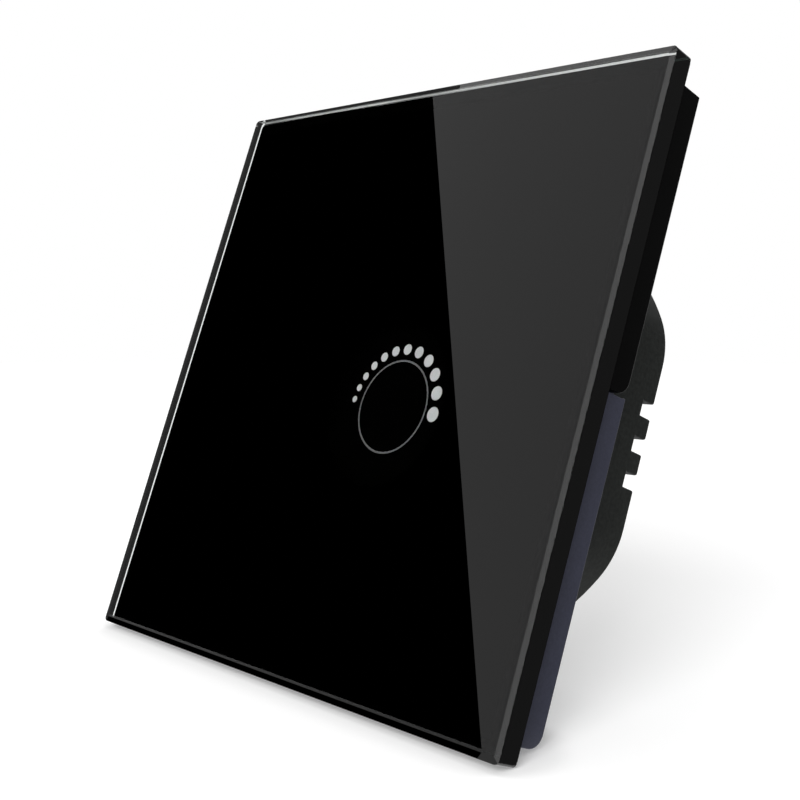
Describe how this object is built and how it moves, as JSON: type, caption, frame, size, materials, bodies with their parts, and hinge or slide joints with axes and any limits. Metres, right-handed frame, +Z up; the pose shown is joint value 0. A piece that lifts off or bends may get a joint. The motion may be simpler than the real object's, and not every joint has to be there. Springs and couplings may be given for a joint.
{
  "type": "touch light switch",
  "caption": "Square black glass touch light switch for a round wall box: pull-off panel, sensor and dimmer boards, screw terminals and a round flat-sided housing.",
  "frame": {"origin": "middle of the wall plane, between the two wall-box screw holes, on the back of the mounting plate", "axes": "+X to the right seen from the front, +Y into the wall, +Z up"},
  "size_m": [0.08, 0.0264, 0.08],
  "materials": {
    "clear_glass": "polished float glass",
    "black_ink": "screen-printed ink",
    "light_ink": "screen-printed ink",
    "foam_tape": "closed-cell foam",
    "black_abs": "moulded, semi-gloss",
    "slate_polycarbonate": "moulded, satin",
    "zinc_steel": "zinc-plated sheet",
    "cover_abs": "moulded, fine texture",
    "clear_acrylic": "moulded, clear",
    "green_board": "solder resist on glass laminate",
    "spring_steel": "nickel-plated wire",
    "chip_epoxy": "moulded epoxy",
    "led_resin": "moulded resin",
    "header_nylon": "moulded",
    "white_nylon": "moulded",
    "plain_aluminium": "sheared sheet",
    "screw_steel": "zinc-plated",
    "choke_lacquer": "lacquered winding",
    "film_case": "moulded case",
    "can_sleeve": "shrunk sleeve",
    "varistor_coat": "dipped epoxy",
    "fuse_case": "moulded case",
    "terminal_nylon": "moulded",
    "terminal_brass": "nickel-free brass",
    "black_nylon": "moulded, fine texture"
  },
  "bodies": {
    "base": {"base_frame": "slate_polycarbonate", "mounting_plate": "zinc_steel", "front_cover": "cover_abs", "light_guide": "clear_acrylic", "touch_board": "green_board", "touch_spring": "spring_steel", "touch_chip": "chip_epoxy", "indicator_leds": "led_resin", "board_header": "header_nylon", "board_spacers": "white_nylon", "power_board": "green_board", "triac": "chip_epoxy", "heat_sink": "plain_aluminium", "triac_screw": "screw_steel", "choke": "choke_lacquer", "film_capacitor": "film_case", "electrolytic_capacitor": "can_sleeve", "varistor": "varistor_coat", "fuse": "fuse_case", "terminal_block": "terminal_nylon", "contact_bars": "terminal_brass", "rear_housing": "black_nylon", "housing_screws": "screw_steel"},
    "panel": {"glass_panel": "clear_glass", "panel_print": "black_ink", "touch_mark": "light_ink", "panel_tape": "foam_tape", "panel_frame": "black_abs"},
    "screw_1": {"terminal_screw_1": "screw_steel"},
    "cage_1": {"wire_cage_1": "terminal_brass"},
    "screw_2": {"terminal_screw_2": "screw_steel"},
    "cage_2": {"wire_cage_2": "terminal_brass"},
    "screw_3": {"terminal_screw_3": "screw_steel"},
    "cage_3": {"wire_cage_3": "terminal_brass"}
  },
  "joints": [
    {"name": "panel_pull", "type": "slide", "parent": "base", "child": "panel", "axis": [0, -1, 0], "range_m": [0, 0.015]},
    {"name": "cage_1_rise", "type": "slide", "parent": "base", "child": "cage_1", "axis": [0, 1, 0], "range_m": [0, 0.0027]},
    {"name": "screw_1_turn", "type": "hinge", "parent": "base", "child": "screw_1", "pos_m": [-0.0056, 0.0127, -0.02169], "axis": [0, -1, 0], "range_deg": [0, 2160]},
    {"name": "cage_2_rise", "type": "slide", "parent": "base", "child": "cage_2", "axis": [0, 1, 0], "range_m": [0, 0.0027]},
    {"name": "screw_2_turn", "type": "hinge", "parent": "base", "child": "screw_2", "pos_m": [0, 0.0127, -0.02169], "axis": [0, -1, 0], "range_deg": [0, 2160]},
    {"name": "cage_3_rise", "type": "slide", "parent": "base", "child": "cage_3", "axis": [0, 1, 0], "range_m": [0, 0.0027]},
    {"name": "screw_3_turn", "type": "hinge", "parent": "base", "child": "screw_3", "pos_m": [0.0056, 0.0127, -0.02169], "axis": [0, -1, 0], "range_deg": [0, 2160]}
  ],
  "couplings": [
    {"joint": "screw_1_turn", "follows": "cage_1_rise", "rad_per_m": 13963},
    {"joint": "screw_2_turn", "follows": "cage_2_rise", "rad_per_m": 13963},
    {"joint": "screw_3_turn", "follows": "cage_3_rise", "rad_per_m": 13963}
  ]
}
